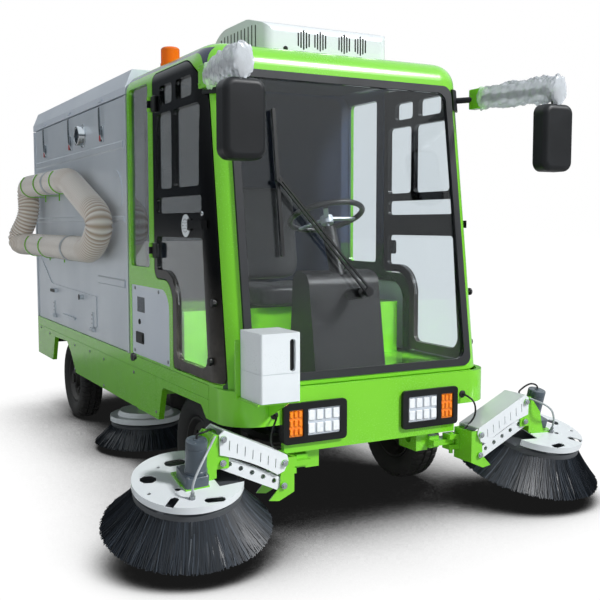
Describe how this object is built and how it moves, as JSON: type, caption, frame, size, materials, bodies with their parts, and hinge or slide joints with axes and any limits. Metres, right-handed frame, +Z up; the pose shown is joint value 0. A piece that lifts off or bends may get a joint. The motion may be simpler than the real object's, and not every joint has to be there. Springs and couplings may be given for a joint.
{
  "type": "vacuum street sweeper",
  "caption": "Small enclosed four-wheel electric vacuum sweeper with a glazed cab, a dust hopper with a stowed suction hose, arm-mounted side brushes and level brushes below the floor.",
  "frame": {"origin": "on the ground, midway along the overall length and on the middle plane", "axes": "+X to the vehicle's left, +Y to its rear, +Z up; the vehicle faces -Y"},
  "size_m": [2.4258, 3.939, 2.2399],
  "materials": {
    "green_paint": "gloss",
    "white_paint": "satin",
    "frame_black": "satin",
    "hopper_sheet": "satin metallic",
    "steel": "brushed",
    "motor_grey": "satin",
    "axle_iron": "rough",
    "tyre_rubber": "matte",
    "rim_paint": "satin",
    "seal_rubber": "matte",
    "tinted_glass": "polished",
    "lens_clear": "clear moulded",
    "beacon_amber": "translucent",
    "black_plastic": "satin",
    "white_plastic": "satin",
    "hose_plastic": "translucent",
    "seat_vinyl": "grained",
    "bristle_black": "matte",
    "door_black": "gloss, printed glass",
    "battery_case": "satin"
  },
  "bodies": {
    "chassis": {"battery_block": "battery_case", "beacon": "beacon_amber", "brush_mounts": "green_paint", "cab_floor": "green_paint", "cab_frame": "green_paint", "cab_glass": "tinted_glass", "frame_cross_members": "frame_black", "frame_rails": "frame_black", "front_axle": "axle_iron", "front_bumper": "green_paint", "hopper_body": "hopper_sheet", "hopper_fittings": "steel", "hose_hooks": "green_paint", "lamp_housings": "black_plastic", "lamp_lenses": "lens_clear", "leaf_springs": "frame_black", "mid_guards": "white_paint", "mirror_arms": "black_plastic", "mirror_heads": "black_plastic", "rear_axle": "axle_iron", "reservoir": "white_plastic", "roof_cooling_unit": "white_plastic", "seat": "seat_vinyl", "service_panels": "white_paint", "skirts": "green_paint", "steering_console": "black_plastic", "suction_hose": "hose_plastic", "suction_nozzle": "frame_black", "windscreen_seal": "seal_rubber"},
    "wheel_front_left": {"tyre_front_left": "tyre_rubber", "rim_front_left": "rim_paint"},
    "wheel_front_right": {"tyre_front_right": "tyre_rubber", "rim_front_right": "rim_paint"},
    "wheel_rear_left": {"tyre_rear_left": "tyre_rubber", "rim_rear_left": "rim_paint"},
    "wheel_rear_right": {"tyre_rear_right": "tyre_rubber", "rim_rear_right": "rim_paint"},
    "knuckle_left": {"knuckle_left": "axle_iron"},
    "knuckle_right": {"knuckle_right": "axle_iron"},
    "door_left": {"door_left_frame": "door_black", "door_left_glass": "tinted_glass"},
    "door_right": {"door_right_frame": "door_black", "door_right_glass": "tinted_glass"},
    "steering_wheel": {"steering_wheel": "black_plastic"},
    "wiper": {"wiper_arm": "black_plastic"},
    "hopper_lid": {"hopper_lid": "hopper_sheet"},
    "rear_door": {"rear_door": "hopper_sheet"},
    "side_flap": {"side_flap": "hopper_sheet"},
    "brush_upper_arm_left": {"brush_upper_arm_left": "white_paint"},
    "brush_upper_arm_right": {"brush_upper_arm_right": "white_paint"},
    "brush_lower_arm_left": {"brush_lower_arm_left": "white_paint"},
    "brush_lower_arm_right": {"brush_lower_arm_right": "white_paint"},
    "brush_head_left": {"brush_head_left": "green_paint", "brush_guard_left": "white_paint"},
    "brush_head_right": {"brush_head_right": "green_paint", "brush_guard_right": "white_paint"},
    "brush_rotor_left": {"brush_rotor_left": "bristle_black"},
    "brush_rotor_right": {"brush_rotor_right": "bristle_black"},
    "mid_rotor_left": {"mid_rotor_left": "bristle_black"},
    "mid_rotor_right": {"mid_rotor_right": "bristle_black"}
  },
  "joints": [
    {"name": "steer_left", "type": "hinge", "parent": "chassis", "child": "knuckle_left", "pos_m": [0.44, -1.05853, 0.265], "axis": [0, 0, 1], "range_deg": [-30, 30]},
    {"name": "wheel_front_left_spin", "type": "hinge", "parent": "knuckle_left", "child": "wheel_front_left", "pos_m": [0.5365, -1.05853, 0.265], "axis": [1, 0, 0], "continuous": true},
    {"name": "wheel_rear_left_spin", "type": "hinge", "parent": "chassis", "child": "wheel_rear_left", "pos_m": [0.5365, 1.17347, 0.265], "axis": [1, 0, 0], "continuous": true},
    {"name": "door_left_swing", "type": "hinge", "parent": "chassis", "child": "door_left", "pos_m": [0.689, -0.72353, 1.5285], "axis": [0, 0, 1], "range_deg": [0, 75]},
    {"name": "brush_arm_left_lower", "type": "hinge", "parent": "chassis", "child": "brush_upper_arm_left", "pos_m": [0.5, -1.67703, 0.361], "axis": [0, 1, 0], "range_deg": [0, 10]},
    {"name": "brush_link_left", "type": "hinge", "parent": "chassis", "child": "brush_lower_arm_left", "pos_m": [0.5, -1.67703, 0.267], "axis": [0, 1, 0], "range_deg": [0, 10]},
    {"name": "brush_head_left_level", "type": "hinge", "parent": "brush_upper_arm_left", "child": "brush_head_left", "pos_m": [0.765, -1.67703, 0.487], "axis": [0, 1, 0], "range_deg": [-10, 0]},
    {"name": "brush_rotor_left_spin", "type": "hinge", "parent": "brush_head_left", "child": "brush_rotor_left", "pos_m": [0.887, -1.68853, 0.339], "axis": [0.061, -0.2364, 0.9697], "continuous": true},
    {"name": "mid_rotor_left_spin", "type": "hinge", "parent": "chassis", "child": "mid_rotor_left", "pos_m": [0.43, 0.17347, 0.2], "axis": [0, 0, 1], "continuous": true},
    {"name": "steer_right", "type": "hinge", "parent": "chassis", "child": "knuckle_right", "pos_m": [-0.44, -1.05853, 0.265], "axis": [0, 0, 1], "range_deg": [-30, 30]},
    {"name": "wheel_front_right_spin", "type": "hinge", "parent": "knuckle_right", "child": "wheel_front_right", "pos_m": [-0.5365, -1.05853, 0.265], "axis": [1, 0, 0], "continuous": true},
    {"name": "wheel_rear_right_spin", "type": "hinge", "parent": "chassis", "child": "wheel_rear_right", "pos_m": [-0.5365, 1.17347, 0.265], "axis": [1, 0, 0], "continuous": true},
    {"name": "door_right_swing", "type": "hinge", "parent": "chassis", "child": "door_right", "pos_m": [-0.689, -0.72353, 1.5285], "axis": [0, 0, -1], "range_deg": [0, 75]},
    {"name": "brush_arm_right_lower", "type": "hinge", "parent": "chassis", "child": "brush_upper_arm_right", "pos_m": [-0.5, -1.67703, 0.361], "axis": [0, -1, 0], "range_deg": [0, 10]},
    {"name": "brush_link_right", "type": "hinge", "parent": "chassis", "child": "brush_lower_arm_right", "pos_m": [-0.5, -1.67703, 0.267], "axis": [0, -1, 0], "range_deg": [0, 10]},
    {"name": "brush_head_right_level", "type": "hinge", "parent": "brush_upper_arm_right", "child": "brush_head_right", "pos_m": [-0.765, -1.67703, 0.487], "axis": [0, -1, 0], "range_deg": [-10, 0]},
    {"name": "brush_rotor_right_spin", "type": "hinge", "parent": "brush_head_right", "child": "brush_rotor_right", "pos_m": [-0.887, -1.68853, 0.339], "axis": [-0.061, -0.2364, 0.9697], "continuous": true},
    {"name": "mid_rotor_right_spin", "type": "hinge", "parent": "chassis", "child": "mid_rotor_right", "pos_m": [-0.43, 0.17347, 0.2], "axis": [0, 0, 1], "continuous": true},
    {"name": "steering_wheel_turn", "type": "hinge", "parent": "chassis", "child": "steering_wheel", "pos_m": [0, -1.20653, 1.345], "axis": [0, 0.3746, 0.9272], "range_deg": [-360, 360]},
    {"name": "wiper_sweep", "type": "hinge", "parent": "chassis", "child": "wiper", "pos_m": [0.02, -1.51864, 1.0083], "axis": [0, 0.9903, -0.1392], "range_deg": [0, 60]},
    {"name": "hopper_lid_open", "type": "hinge", "parent": "chassis", "child": "hopper_lid", "pos_m": [0.689, 0.79347, 1.975], "axis": [0, 1, 0], "range_deg": [0, 70]},
    {"name": "rear_door_open", "type": "hinge", "parent": "chassis", "child": "rear_door", "pos_m": [0, 1.92947, 1.7], "axis": [1, 0, 0], "range_deg": [0, 95]},
    {"name": "side_flap_open", "type": "hinge", "parent": "chassis", "child": "side_flap", "pos_m": [-0.68, 0.87347, 0.682], "axis": [0, -1, 0], "range_deg": [0, 110]}
  ],
  "couplings": [
    {"joint": "steer_left", "follows": "steer_right", "ratio": 1},
    {"joint": "steering_wheel_turn", "follows": "steer_right", "ratio": 12},
    {"joint": "brush_link_left", "follows": "brush_arm_left_lower", "ratio": 1},
    {"joint": "brush_head_left_level", "follows": "brush_arm_left_lower", "ratio": -1},
    {"joint": "brush_link_right", "follows": "brush_arm_right_lower", "ratio": 1},
    {"joint": "brush_head_right_level", "follows": "brush_arm_right_lower", "ratio": -1}
  ]
}
